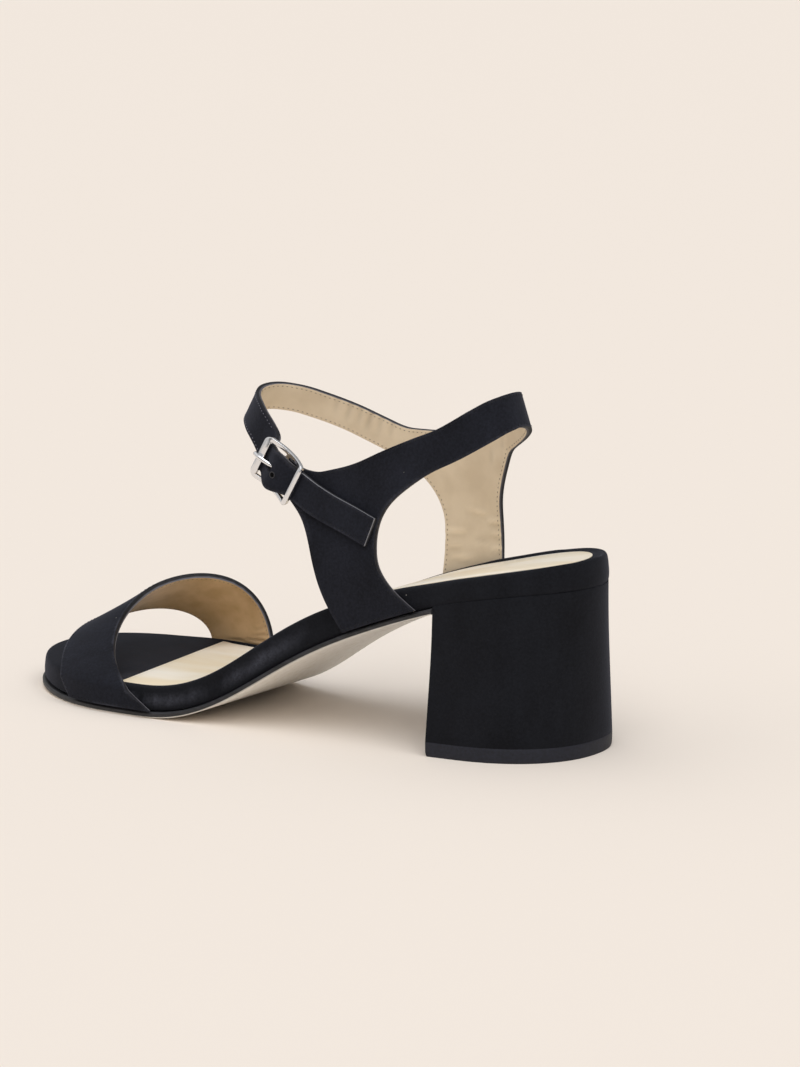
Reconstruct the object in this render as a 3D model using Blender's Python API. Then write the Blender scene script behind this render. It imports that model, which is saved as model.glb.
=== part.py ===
"""Mid heel sandal, left shoe: leather outsole, suede-wrapped footbed, sock, block heel with
top piece, toe strap, quarter strap that runs on as the ankle strap, and its buckle.

Lengths are millimetres until place() turns them into metres.  A station is the distance from
the footbed's rear end towards the toe.  The toe points to -X and the outer side of the foot
to -Y, and the shoe stands on the plane z = 0.
"""
import math
from collections import namedtuple

import bmesh
import bpy
import numpy as np

for old in list(bpy.data.objects):
    bpy.data.objects.remove(old, do_unlink=True)

MM = 0.001
GAP = 0.3                  # clearance that neighbouring pieces keep
OUTER, INNER = -1, 1       # the outer and the inner side of the foot, as signs of y

# Driving dimensions
FOOTBED_LENGTH = 227.3
REAR_X = 114.0             # X of the footbed's rear end, which puts the box's middle at x = 0
SHIFT_Y = -0.8             # puts the box's middle at y = 0
HEEL_RADIUS, HEEL_POWER = 31.0, 2.0     # round rear end of the footbed, as a superellipse
TOE_RADIUS, TOE_POWER = 50.0, 2.25      # round toe end
OUTSOLE_THICK, OUTSOLE_EDGE = 2.1, 0.7  # the edge is how far it stands out past the footbed
SOCK_SEAT, SOCK_THICK, SOCK_BORDER = 0.45, 0.9, 3.5   # seat is its clearance over the footbed
SOCK_FRONT = {OUTER: 175.5, INNER: 185.0}   # stations where the sock's front cut ends
BREAST = 47.0              # station of the heel's flat front face, under the footbed
HEEL_INSET = 0.7           # how far the heel's top lies inside the footbed's plan
HEEL_FOOT = {"rear": 4.4, "breast": 49.2, "radius": 35.9, "power": 2.26}
HEEL_FOOT_HALF_WIDTH, HEEL_FOOT_MIDDLE = 30.2, 1.2
HEEL_FOOT_TURN = 6.2       # how far the heel's foot swings to the inner side at the rear
TOP_PIECE_THICK = 5.0
TOP_PIECE_BEVEL = {"inset": [0.5, 0.0, 0.0], "height": [0.0, 0.12, 1.0]}   # height as a share
STRAP_WALL, ANKLE_WALL, LOOP_WALL = 2.0, 1.8, 1.6   # suede and lining together
SKIVE_SHARE, SKIVE_REACH = 0.7, 0.3     # a strap's wall where it meets the sole, and over what share
FOOTBED_STEPS, OUTSOLE_STEPS, SOCK_STEPS = 45, 30, 28   # points along each edge of these pieces
HEEL_BEND_STEPS, HEEL_LEVELS = 20, 5    # points round the heel's bend, and rings up the block

# Sole along the shoe: underside of the footbed and its thickness, both measured upright
SOLE = {
    "station": [0, 13, 32, 47, 63, 89, 104, 116, 128, 140, 150, 160, 196, 227],
    "underside": [58.0, 57.0, 53.8, 50.4, 45.0, 34.5, 26.6, 19.0, 11.4, 5.8, 3.2, 2.4, 2.4, 4.3],
    "thickness": [9.4, 8.8, 8.3, 8.0, 9.4, 11.0, 11.6, 11.4, 10.4, 9.4, 8.7, 8.4, 8.3, 8.0],
}
# Plan of the footbed before its ends are rounded
PLAN = {
    "station": [0, 28, 60, 95, 130, 158, 178, 200, 227],
    "outer": [27.6, 27.8, 27.6, 28.8, 34.4, 38.2, 38.8, 36.8, 33.0],
    "inner": [26.2, 26.4, 25.0, 23.8, 28.6, 36.6, 40.4, 40.2, 38.0],
}
# Side of the footbed from its underside to its top: share of the height, inset from the plan,
# what the wrapped ledge of waist and forefoot adds to that inset, and share of the sock's recess
FOOTBED_SIDE = {
    "share": [0.0, 0.0, 0.1, 0.40, 0.50, 0.80, 0.93, 0.99, 1.0, 1.0],
    "inset": [2.0, 0.7, 0.0, 0.0, 0.1, 0.3, 0.7, 1.6, 2.8, 3.1],
    "ledge": [0.0, 0.0, 0.0, 0.0, 0.6, 0.3, 0.2, 0.2, 0.0, 0.0],
    "recess": [0, 0, 0, 0, 0, 0, 0, 0, 0, 1],
}
LEDGE_ALONG = {"station": [45, 75, 150, 178], "share": [0, 1, 1, 0]}
# Bed of the sock, let into the footbed's top
RECESS = {"station": [0, 60, 140, 176, 196], "depth": [0.5, 0.5, 1.1, 1.1, 0.0]}
# Edge of the outsole from its top to its underside, as shares of OUTSOLE_EDGE and OUTSOLE_THICK
OUTSOLE_SIDE = {"edge": [0.2, 1.0, 1.0, 0.4], "drop": [0.0, 0.25, 0.8, 1.0]}
# Round the ankle: 0 is behind, 90 outside, -90 inside, -180 in front, then outside again.
# Middle height and width of the band, which is quarter, heel band and ankle strap in one.
BAND = {
    "angle": [100, 94, 84, 74, 60, 49, 40, 30, 15, 0, -15, -30, -45, -60, -72, -84, -95,
              -108, -120, -135, -150, -165, -180, -195, -210, -222],
    "height": [83.9, 84.5, 87.6, 92.7, 99.3, 103.0, 106.2, 109.3, 112.5, 113.6, 112.5, 109.4,
               105.0, 99.6, 95.8, 93.0, 93.2, 96.9, 100.7, 104.4, 107.3, 108.4, 107.6, 106.5,
               104.8, 102.1],
    "width": [12.0, 13.3, 14.3, 13.9, 11.9, 11.3, 11.4, 11.7, 11.8, 11.7, 11.8, 12.0, 12.3, 12.8,
              12.8, 11.8, 10.6, 9.9, 9.7, 9.8, 10.1, 10.3, 10.4, 10.4, 10.4, 10.4],
}
# First angle, last angle and columns of the band's stretches; the posts hang from two of them
BAND_STRETCHES = ((92.5, 66.8, 7), (62, -50, 27), (-55, -97, 11), (-102, -222, 29))
THINNING = {"angle": [-105, -85], "share": [ANKLE_WALL / STRAP_WALL, 1.0]}
# Free end of the ankle strap over the quarter: middle height and lift off the quarter
STRAP_END = {"angle": [-262, -270, -280], "height": [82.0, 77.9, 73.1], "lift": [2.2, 2.2, 2.4]}
STRAP_END_CLIMB, STRAP_END_COLUMNS = -0.42, 8
STRAP_WIDTH, STRAP_SPREAD = 10.4, 1.6   # the spread widens each side over the buckle's middle bar
ACROSS = np.array([-0.5, -0.3, -0.1, 0.1, 0.3, 0.5])   # lines along the band, shares of its width

# Ankle opening in plan: middle, half length and half width, with their change by height.
# The front leans back strongly, as the instep does.
ANKLE_LEVEL = 100.0
ANKLE_MIDDLE, ANKLE_MIDDLE_LEAN = 87.0, 0.10
ANKLE_BACK_LENGTH, ANKLE_BACK_LEAN = 58.5, -0.25
ANKLE_FRONT_LENGTH, ANKLE_FRONT_LEAN = 55.3, -0.57
ANKLE_HALF_WIDTH = {"height": [45, 60, 90, 120], "half": [28.5, 28.0, 25.0, 23.0]}
ANKLE_POWER = 2.2
ANKLE_FRONT_POWER = {"height": [91, 110], "power": [2.2, 1.7]}   # rounder towards the top
WALL_FOOT, WALL_TOP = 56.0, 80.0   # between these heights a post turns from footbed to ankle

# Edges of the two posts from the band down to the outsole: station and height of each edge
POST_OUTER = {
    "from": 110.0, "to": 66.7,
    "share": [0, 0.16, 0.36, 0.56, 0.75, 0.89, 1.0],
    "start_station": [0, 99.6, 96.2, 93.6, 90.8, 87.0, 82.0],
    "start_height": [0, 73.2, 67.0, 59.5, 51.6, 44.6, 37.9],
    "end_station": [0, 68.3, 70.2, 69.3, 65.6, 59.4, 53.5],
    "end_height": [0, 80.6, 72.0, 63.8, 57.3, 52.2, 48.6],
}
POST_INNER = {
    "from": -52.0, "to": -97.1,
    "share": [0, 0.12, 0.28, 0.46, 0.64, 0.82, 1.0],
    "start_station": [0, 50.6, 53.8, 55.2, 55.4, 55.4, 55.2],
    "start_height": [0, 90.0, 82.0, 74.0, 66.0, 57.5, 48.4],
    "end_station": [0, 87.4, 81.4, 78.4, 78.0, 79.2, 81.0],
    "end_height": [0, 82.6, 75.6, 67.0, 58.6, 48.0, 37.5],
}
POST_ROWS = 10

# Toe strap: station of each edge at the outer foot and four that pull its curve from the outer
# to the inner side, rise over the upright wall, roundness upwards and sideways, and how much
# higher its inner half is
TOE_EDGES = {
    "front": {"foot": 192.9, "stations": (197.9, 218.2, 205.1, 190.4), "rise": 13.6, "up": 1.86,
              "side": 3.0, "lean": 0.42},
    "rear": {"foot": 156.7, "stations": (166.1, 211.5, 183.7, 162.3), "rise": 24.9, "up": 2.0,
             "side": 1.85, "lean": 0.68},
}
TOE_WALL_TOP = 9.0         # height up to which the toe strap stands upright beside the footbed
TOE_COLUMNS, TOE_ROWS, TOE_WALL_ROWS = 28, 7, 2

# Buckle, placed on the ankle strap's line
BUCKLE_ANGLE, BUCKLE_HEIGHT, BUCKLE_SLOPE = -249.5, 89.0, math.radians(26.8)
BUCKLE_HALF_LENGTH, BUCKLE_HALF_WIDTH, BUCKLE_CORNER = 8.75, 7.0, 1.8
BUCKLE_WIRE, BAR_RADIUS, PRONG_RADIUS = 0.95, 0.9, 0.6
BAR_LIFT, RIM_LIFT = 2.0, 4.2             # middle bar and end bars over the quarter
STRAP_LOW = 2.05                          # strap's middle surface under the end bars
STRAP_HIGH = BAR_LIFT + BAR_RADIUS + LOOP_WALL + 2 * GAP + ANKLE_WALL / 2   # over the middle bar
HOLE_START, HOLE_END = 0.9, 5.5           # prong hole along the strap from the middle bar
# Strap inside the buckle and just ahead of it, measured along the strap from the middle bar
STRAP_INSIDE = (BUCKLE_HALF_LENGTH, 7.0, HOLE_END, 3.2, HOLE_START, -1, -3, -5, -7, -BUCKLE_HALF_LENGTH)
STRAP_LEAD = {"ahead": [16, 12], "lift": [-1.3, 1.1]}
# Tab of the quarter: turned back round the middle bar, then behind it widening to the post
LOOP_TURNS = (140, 105, 70, 35, 0, -35, -65, -90)
LOOP_WIDTH = 9.0
TAB = {"behind": [3, 6, 9, 12], "above": [4.5, 4.8, 5.9, 7.3], "below": [5.0, 6.4, 7.3, 8.2],
       "wall": [0.8, 0.8, 0.8, 1.0]}
# Prong from the middle bar through the hole to the end bar, and its depth below its rest there
PRONG = {"ahead": [1.5, 3.4, 5.6, 7.6, 9.2, 10.5], "below": [2.4, 1.7, 0.8, 0.1, 0.0, 0.2]}
PRONG_TURNS = range(-20, -271, -25)

Column = namedtuple("Column", "kind angle points wall")


def smooth(table, column, x, by="station"):
    """Monotone cubic through the rows of a table."""
    xs = np.asarray(table[by], float)
    ys = np.asarray(table[column], float)
    if xs[0] > xs[-1]:
        xs, ys = xs[::-1], ys[::-1]
    x = np.clip(np.asarray(x, float), xs[0], xs[-1])
    step = np.diff(xs)
    rise = np.diff(ys) / step
    slope = np.zeros(len(xs))
    slope[0], slope[-1] = rise[0], rise[-1]
    for i in range(1, len(xs) - 1):
        if rise[i - 1] * rise[i] > 0:
            near, far = 2 * step[i] + step[i - 1], step[i] + 2 * step[i - 1]
            slope[i] = (near + far) / (near / rise[i - 1] + far / rise[i])
    i = np.clip(np.searchsorted(xs, x) - 1, 0, len(xs) - 2)
    t = (x - xs[i]) / step[i]
    ends = (1 + 2 * t) * (1 - t) ** 2 * ys[i] + t * t * (3 - 2 * t) * ys[i + 1]
    return ends + step[i] * (t * (1 - t) ** 2 * slope[i] + t * t * (t - 1) * slope[i + 1])


def signed_power(value, power):
    return np.sign(value) * np.abs(value) ** power


def underside(station):
    return smooth(SOLE, "underside", station)


def footbed_top(station):
    return underside(station) + smooth(SOLE, "thickness", station)


def recess_depth(station):
    return smooth(RECESS, "depth", station)


def plan(side, station, inset=0.0):
    """Y of the footbed's plan at a station, drawn in by an inset."""
    outer = smooth(PLAN, "outer", station)
    inner = smooth(PLAN, "inner", station)
    rear = np.clip(1 - station / HEEL_RADIUS, 0, 1)
    front = np.clip(1 - (FOOTBED_LENGTH - station) / TOE_RADIUS, 0, 1)
    ends = (1 - rear ** HEEL_POWER) ** (1 / HEEL_POWER) * (1 - front ** TOE_POWER) ** (1 / TOE_POWER)
    return (inner - outer) / 2 + side * ends * ((inner + outer) / 2 - inset)


def shrink(station, inset):
    """Station of a plan point once the plan is drawn in by an inset at both ends."""
    return inset + (FOOTBED_LENGTH - 2 * inset) * station / FOOTBED_LENGTH


def spaced(start, end, count):
    """Stations that crowd towards both ends, where the plan turns."""
    return start + (end - start) * (1 - np.cos(np.linspace(0, math.pi, count))) / 2


def place(points):
    points = np.asarray(points, float)
    return np.stack([REAR_X - points[:, 0], points[:, 1] + SHIFT_Y, points[:, 2]], 1) * MM


def material(name, colour, roughness, metallic=0.0):
    made = bpy.data.materials.new(name)
    made.use_nodes = True
    shader = made.node_tree.nodes["Principled BSDF"]
    shader.inputs["Base Color"].default_value = (*colour, 1.0)
    shader.inputs["Roughness"].default_value = roughness
    shader.inputs["Metallic"].default_value = metallic
    return made


def make_object(name, points, faces, finish, smooth_angle=35):
    """A mesh object from points given as station, y and height."""
    mesh = bpy.data.meshes.new(name)
    mesh.from_pydata([tuple(p) for p in place(points)], [], faces)
    shape = bmesh.new()
    shape.from_mesh(mesh)
    bmesh.ops.recalc_face_normals(shape, faces=shape.faces)
    shape.to_mesh(mesh)
    shape.free()
    mesh.shade_smooth()
    mesh.set_sharp_from_angle(angle=math.radians(smooth_angle))
    mesh.materials.append(finish)
    made = bpy.data.objects.new(name, mesh)
    bpy.context.collection.objects.link(made)
    return made


def stacked_rings(rings, rear_tip=True, front_tip=True):
    """Points and faces of a body of rings, each an outer and an inner row of equal length.

    A tip says that both rows share their rear or front point; otherwise that end is cut flat.
    """
    points, faces, loops = [], [], []
    for outer, inner in rings:
        row = [len(points) + k for k in range(len(outer))]
        points += [tuple(p) for p in outer]
        own = inner[int(rear_tip):len(inner) - int(front_tip)]
        other = [len(points) + k for k in range(len(own))]
        points += [tuple(p) for p in own]
        loops.append((row, row[:int(rear_tip)] + other + row[len(row) - int(front_tip):]))
    for (low, low_in), (high, high_in) in zip(loops, loops[1:]):
        for a, b in ((low, high), (low_in, high_in)):
            faces += [(a[k], a[k + 1], b[k + 1], b[k]) for k in range(len(a) - 1)]
        for end, tip in ((0, rear_tip), (-1, front_tip)):
            if not tip:
                faces.append((low[end], low_in[end], high_in[end], high[end]))
    for row, other in (loops[0], loops[-1]):
        for k in range(len(row) - 1):
            corners = [row[k], row[k + 1], other[k + 1], other[k]]
            faces.append(tuple(dict.fromkeys(corners)))
    return points, faces


def plan_row(side, stations, inset, height):
    at = shrink(stations, inset)
    return np.stack([at, plan(side, stations, inset), height(at)], 1)


def make_footbed(finish):
    stations = spaced(0, FOOTBED_LENGTH, FOOTBED_STEPS)
    ledge_along = smooth(LEDGE_ALONG, "share", stations)
    rings = []
    for share, inset, ledge, recess in zip(*FOOTBED_SIDE.values()):
        def height(at, share=share, recess=recess):
            return underside(at) * (1 - share) + footbed_top(at) * share - recess * recess_depth(at)
        drawn_in = inset + ledge * ledge_along
        rings.append([plan_row(side, stations, drawn_in, height) for side in (OUTER, INNER)])
    make_object("footbed", *stacked_rings(rings), finish)


def make_outsole(finish):
    """Sole from the heel's front face to the toe; its rear end is a straight cut."""
    turn = np.linspace(0, math.pi / 2, OUTSOLE_STEPS)
    stations = BREAST + (FOOTBED_LENGTH - BREAST) * np.sin(turn)
    rings = []
    for edge, drop in zip(*OUTSOLE_SIDE.values()):
        out = edge * OUTSOLE_EDGE
        at = stations + out * np.sin(turn) ** 4 + GAP * np.cos(turn)
        low = underside(stations) - GAP - drop * OUTSOLE_THICK
        rings.append([np.stack([at, plan(side, stations, -out), low], 1) for side in (OUTER, INNER)])
    make_object("outsole", *stacked_rings(rings, rear_tip=False), finish)


def make_sock(finish):
    along = 1 - np.cos(np.linspace(0, math.pi / 2, SOCK_STEPS))
    rings = []
    for lift in (SOCK_SEAT, SOCK_SEAT + SOCK_THICK):
        def height(at, lift=lift):
            return footbed_top(at) - recess_depth(at) + lift
        rings.append([plan_row(side, along * front, SOCK_BORDER, height)
                      for side, front in SOCK_FRONT.items()])
    make_object("insole_sock", *stacked_rings(rings, front_tip=False), finish)


def heel_outline(rear, breast, radius, power):
    """Stations from the heel's rear tip to its flat front, and the share of its width there."""
    turn = np.linspace(0, math.pi / 2, HEEL_BEND_STEPS)
    bend = rear + radius * (1 - np.cos(turn) ** (2 / power))
    straight = np.linspace(rear + radius, breast, 4)[1:]
    share = np.concatenate([np.sin(turn) ** (2 / power), np.ones(len(straight))])
    return np.concatenate([bend, straight]), share


def heel_section(share, inset, height):
    """Outer and inner row of the heel: share 0 under the footbed, 1 at the floor."""
    stations, _ = heel_outline(0.0, BREAST, HEEL_RADIUS, HEEL_POWER)
    foot_stations, foot_width = heel_outline(**HEEL_FOOT)
    top_stations = HEEL_INSET + (BREAST - HEEL_INSET) * stations / BREAST
    at = top_stations * (1 - share) + foot_stations * share
    middle = np.array([BREAST / 2, 0.0])
    rows = []
    foot_middle = HEEL_FOOT_MIDDLE + HEEL_FOOT_TURN * (1 - foot_stations / HEEL_FOOT["breast"])
    for side in (OUTER, INNER):
        foot = foot_middle + side * HEEL_FOOT_HALF_WIDTH * foot_width
        y = plan(side, stations, HEEL_INSET) * (1 - share) + foot * share
        flat = middle + (np.stack([at, y], 1) - middle) * (1 - inset / HEEL_FOOT_HALF_WIDTH)
        rows.append(np.column_stack([flat, height(flat[:, 0])]))
    return rows


def make_heel(finish, rubber):
    block = []
    for share in np.linspace(0, 1, HEEL_LEVELS):
        def height(at, share=share):
            return (underside(at) - GAP) * (1 - share) + (TOP_PIECE_THICK + GAP) * share
        block.append(heel_section(share, 0.0, height))
    make_object("heel_block", *stacked_rings(block, front_tip=False), finish)
    piece = []
    for inset, share in zip(*TOP_PIECE_BEVEL.values()):
        piece.append(heel_section(1.0, inset, lambda at, share=share: at * 0 + share * TOP_PIECE_THICK))
    make_object("heel_top_piece", *stacked_rings(piece, front_tip=False), rubber)


def ankle_oval(height, ahead):
    """Middle, half length, half width and power of the oval; ahead says which half of it."""
    rise = height - ANKLE_LEVEL
    half_width = smooth(ANKLE_HALF_WIDTH, "half", height, by="height")
    half_length, power = ANKLE_BACK_LENGTH + ANKLE_BACK_LEAN * rise, ANKLE_POWER
    if ahead:
        half_length = ANKLE_FRONT_LENGTH + ANKLE_FRONT_LEAN * rise
        power = float(smooth(ANKLE_FRONT_POWER, "power", height, by="height"))
    return ANKLE_MIDDLE + ANKLE_MIDDLE_LEAN * rise, half_length, half_width, power


def hug(side, station, height):
    """Y of the quarter's middle surface: upright beside the footbed, then the ankle's oval."""
    middle, half_length, half_width, power = ankle_oval(height, station > ANKLE_MIDDLE)
    along = np.clip(np.abs(station - middle) / half_length, 0, 1)
    ankle = side * half_width * (1 - along ** power) ** (1 / power)
    beside = plan(side, station) + side * (GAP + STRAP_WALL / 2)
    t = np.clip((height - WALL_FOOT) / (WALL_TOP - WALL_FOOT), 0, 1)
    t = t * t * (3 - 2 * t)
    return ankle * t + beside * (1 - t)


def round_ankle(angle, height, lift=0.0):
    """Point at an angle round the ankle, lifted off the surface along its plan normal."""
    cos, sin = math.cos(math.radians(angle)), math.sin(math.radians(angle))
    middle, half_length, half_width, power = ankle_oval(height, cos < 0)
    station = middle - half_length * signed_power(cos, 2 / power)
    if height >= WALL_TOP:
        y = -half_width * signed_power(sin, 2 / power)
    else:
        y = hug(OUTER if sin > 0 else INNER, station, height)
    out = np.array([-signed_power(cos, 2 - 2 / power) / half_length,
                    -signed_power(sin, 2 - 2 / power) / half_width])
    out /= np.linalg.norm(out)
    return np.array([station + out[0] * lift, y + out[1] * lift, height])


def on_band(angle, height, climb, across, lift=0.0):
    """Point beside the band's middle line, square to a line that climbs per millimetre ahead.

    Ahead is the way the angle falls.
    """
    step = 0.5
    turned = round_ankle(angle - step, height) - round_ankle(angle + step, height)
    raised = round_ankle(angle, height + step) - round_ankle(angle, height - step)
    length = math.hypot(1.0, climb)
    angle += across * climb / length / np.linalg.norm(turned)
    height += across / length / np.linalg.norm(raised)
    return round_ankle(angle, height, lift)


def buckle_line(ahead):
    """Angle and height of the strap's middle line, ahead of the buckle's middle bar."""
    degree = np.linalg.norm(round_ankle(BUCKLE_ANGLE + 0.5, BUCKLE_HEIGHT)
                            - round_ankle(BUCKLE_ANGLE - 0.5, BUCKLE_HEIGHT))
    return (BUCKLE_ANGLE + ahead * math.cos(BUCKLE_SLOPE) / degree,
            BUCKLE_HEIGHT + ahead * math.sin(BUCKLE_SLOPE))


def on_quarter(ahead, across, lift):
    """Point over the quarter near the buckle: ahead runs along the strap towards the toe."""
    angle, height = buckle_line(ahead)
    return on_band(angle, height, -math.tan(BUCKLE_SLOPE), across, lift)


def on_buckle(ahead, across, lift):
    """Point in the stiff buckle's own directions, which the quarter has at the middle bar."""
    middle = on_quarter(0, 0, 0)
    along = on_quarter(1, 0, 0) - on_quarter(-1, 0, 0)
    along /= np.linalg.norm(along)
    sideways = on_quarter(0, 1, 0) - on_quarter(0, -1, 0)
    sideways -= along * (sideways @ along)
    sideways /= np.linalg.norm(sideways)
    return middle + ahead * along + across * sideways + lift * np.cross(along, sideways)


def bulge(ahead):
    """Share of the strap's swell inside the buckle, from 0 at its end bars to 1 at its middle bar."""
    return math.cos(ahead / BUCKLE_HALF_LENGTH * math.pi / 2) ** 2


def column_at(carrier, kind, ahead, above, below, lift, wall, angle=None):
    """A column square to the strap, on the quarter or on the buckle as its carrier says."""
    across = np.interp(ACROSS, ACROSS[[0, -1]], [-below, above])
    return Column(kind, angle, [carrier(ahead, beside, lift) for beside in across], wall)


def tab_columns():
    """Columns of the quarter's tab; the last one already carries the outer post."""
    columns = []
    loop = BAR_RADIUS + GAP + LOOP_WALL / 2
    for turn in np.radians(LOOP_TURNS):
        ahead, lift = loop * math.cos(turn), BAR_LIFT + loop * math.sin(turn)
        columns.append(column_at(on_buckle, "loop", ahead, LOOP_WIDTH / 2, LOOP_WIDTH / 2, lift,
                                 LOOP_WALL / STRAP_WALL))
    last = TAB["behind"][-1]
    for behind, above, below, wall in zip(*TAB.values()):
        lift = (BAR_LIFT - loop) * (1 - behind / last)
        kind = "band" if behind == last else "tab"
        angle = 360 + buckle_line(-behind)[0]
        columns.append(column_at(on_quarter, kind, -behind, above, below, lift, wall, angle))
    return columns


def ring_columns():
    """Columns of the band round the ankle, each square to the band's middle line."""
    columns = []
    for angle in np.concatenate([np.linspace(*stretch) for stretch in BAND_STRETCHES]):
        behind, height, ahead = (float(smooth(BAND, "height", angle + by, by="angle")) for by in (1, 0, -1))
        width = float(smooth(BAND, "width", angle, by="angle"))
        run = np.linalg.norm(round_ankle(angle - 1, height) - round_ankle(angle + 1, height))
        points = [on_band(angle, height, (ahead - behind) / run, width * f) for f in ACROSS]
        columns.append(Column("band", angle, points, float(smooth(THINNING, "share", angle, by="angle"))))
    return columns


def strap_columns():
    """Columns of the ankle strap through the buckle and on to its free end."""
    wall = ANKLE_WALL / STRAP_WALL
    half = STRAP_WIDTH / 2
    columns = []
    for ahead, lift in zip(*STRAP_LEAD.values()):
        columns.append(column_at(on_quarter, "lead", ahead, half, half, lift, wall))
    for ahead in STRAP_INSIDE:
        kind = "hole" if HOLE_START < ahead <= HOLE_END else "strap"
        lift = STRAP_LOW + (STRAP_HIGH - STRAP_LOW) * bulge(ahead)
        spread = half + STRAP_SPREAD * bulge(ahead) ** 2
        columns.append(column_at(on_buckle, kind, ahead, spread, spread, lift, wall))
    for angle in np.linspace(STRAP_END["angle"][0], STRAP_END["angle"][-1], STRAP_END_COLUMNS):
        height, lift = (float(smooth(STRAP_END, key, angle, by="angle")) for key in ("height", "lift"))
        points = [on_band(angle, height, STRAP_END_CLIMB, STRAP_WIDTH * f, lift) for f in ACROSS]
        columns.append(Column("end", angle, points, wall))
    return columns


def make_sheet(name, points, quads, walls, finish):
    """A leather wall around a middle surface, thinner where its share of the wall is less."""
    made = make_object(name, points, quads, finish)
    skive = made.vertex_groups.new(name="wall")
    for index, share in enumerate(walls):
        skive.add([index], float(share), "REPLACE")
    wall = made.modifiers.new("wall", "SOLIDIFY")
    wall.thickness = STRAP_WALL * MM
    wall.offset = 0.0
    wall.use_even_offset = True
    wall.vertex_group = skive.name
    return made


def make_quarter(finish):
    columns = tab_columns() + ring_columns() + strap_columns()
    lines = len(ACROSS)
    points = [p for column in columns for p in column.points]
    walls = [column.wall for column in columns for _ in range(lines)]
    middle = lines // 2 - 1
    quads = []
    for k, column in enumerate(columns[:-1]):
        for j in range(lines - 1):
            if j == middle and column.kind in ("loop", "hole"):
                continue
            a = k * lines + j
            quads.append((a, a + lines, a + lines + 1, a + 1))
    for side, post in ((OUTER, POST_OUTER), (INNER, POST_INNER)):
        top = [k * lines for k, column in enumerate(columns)
               if column.kind == "band" and post["to"] <= column.angle <= post["from"]]
        add_post(side, post, top, points, quads, walls)
    make_sheet("quarter_and_ankle_strap", points, quads, walls, finish)


def add_post(side, post, top, points, quads, walls):
    """Hang a post from the band's lower edge, its four edges blended into one patch."""
    corners = [np.array(points[top[0]])[[0, 2]], np.array(points[top[-1]])[[0, 2]]]
    edges = []
    for end, corner in zip(("start", "end"), corners):
        table = {"share": post["share"],
                 "station": [corner[0], *post[end + "_station"][1:]],
                 "height": [corner[1], *post[end + "_height"][1:]]}
        edges.append(lambda v, table=table: np.array(
            [smooth(table, "station", v, by="share"), smooth(table, "height", v, by="share")]))
    upper = np.array([np.array(points[k])[[0, 2]] for k in top])
    share = np.linspace(0, 1, len(top))
    foot_stations = edges[0](1)[0] + (edges[1](1)[0] - edges[0](1)[0]) * share
    lower = np.stack([foot_stations, underside(foot_stations) + GAP], 1)
    above = list(top)
    for row in range(1, POST_ROWS + 1):
        v = row / POST_ROWS
        left, right = edges[0](v), edges[1](v)
        if row == POST_ROWS:
            left, right = lower[0], lower[-1]
        made = []
        for k, u in enumerate(share):
            flat = (1 - v) * upper[k] + v * lower[k] + (1 - u) * left + u * right
            flat -= (1 - v) * ((1 - u) * upper[0] + u * upper[-1])
            flat -= v * ((1 - u) * lower[0] + u * lower[-1])
            made.append(len(points))
            points.append(np.array([flat[0], float(hug(side, flat[0], flat[1])), flat[1]]))
            walls.append(np.interp(v, [1 - SKIVE_REACH, 1], [1, SKIVE_SHARE]))
        quads += [(above[k], above[k + 1], made[k + 1], made[k]) for k in range(len(made) - 1)]
        above = made


def toe_edge(edge, turn, level):
    """Station and rise of one edge of the toe strap at a turn from the outer to the inner side.

    On the outer wall the edge leans forward with the level, from 0 at the outsole to 1.
    """
    t = (1 - math.cos(turn)) / 2
    a, b, c, d = edge["stations"]
    station = a * (1 - t) ** 3 + 3 * b * t * (1 - t) ** 2 + 3 * c * t * t * (1 - t) + d * t ** 3
    if turn == 0:
        station = edge["foot"] + (a - edge["foot"]) * level
    rise = edge["rise"] * math.sin(turn) ** (2 / edge["up"]) * (1 - edge["lean"] * math.cos(turn))
    return station, rise


def make_toe_strap(finish):
    front, rear = TOE_EDGES["front"], TOE_EDGES["rear"]
    beside = GAP + STRAP_WALL / 2
    turns = np.linspace(0, math.pi, TOE_COLUMNS + 1)
    points, walls = [], []
    levels = np.linspace(0, 1, TOE_WALL_ROWS + 1)[:-1]
    foot_rows = [(level, SKIVE_SHARE + (1 - SKIVE_SHARE) * level) for level in levels]
    across = [(turns[0], *row) for row in foot_rows] + [(turn, 1.0, 1.0) for turn in turns]
    across += [(turns[-1], *row) for row in reversed(foot_rows)]
    for turn, level, wall in across:
        ends = [toe_edge(edge, turn, level) for edge in (front, rear)]
        for v in np.linspace(0, 1, TOE_ROWS + 1):
            station = ends[0][0] * (1 - v) + ends[1][0] * v
            rise = ends[0][1] * (1 - v) + ends[1][1] * v
            outer = plan(OUTER, station) - beside
            inner = plan(INNER, station) + beside
            side = front["side"] * (1 - v) + rear["side"] * v
            y = (outer + inner) / 2 - (inner - outer) / 2 * signed_power(math.cos(turn), 2 / side)
            foot = underside(station) + GAP
            height = foot + (TOE_WALL_TOP - foot) * level + rise
            points.append(np.array([station, float(y), float(height)]))
            walls.append(wall)
    rows = TOE_ROWS + 1
    quads = [(k * rows + j, (k + 1) * rows + j, (k + 1) * rows + j + 1, k * rows + j + 1)
             for k in range(len(across) - 1) for j in range(TOE_ROWS)]
    make_sheet("toe_strap", points, quads, walls, finish)


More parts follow.
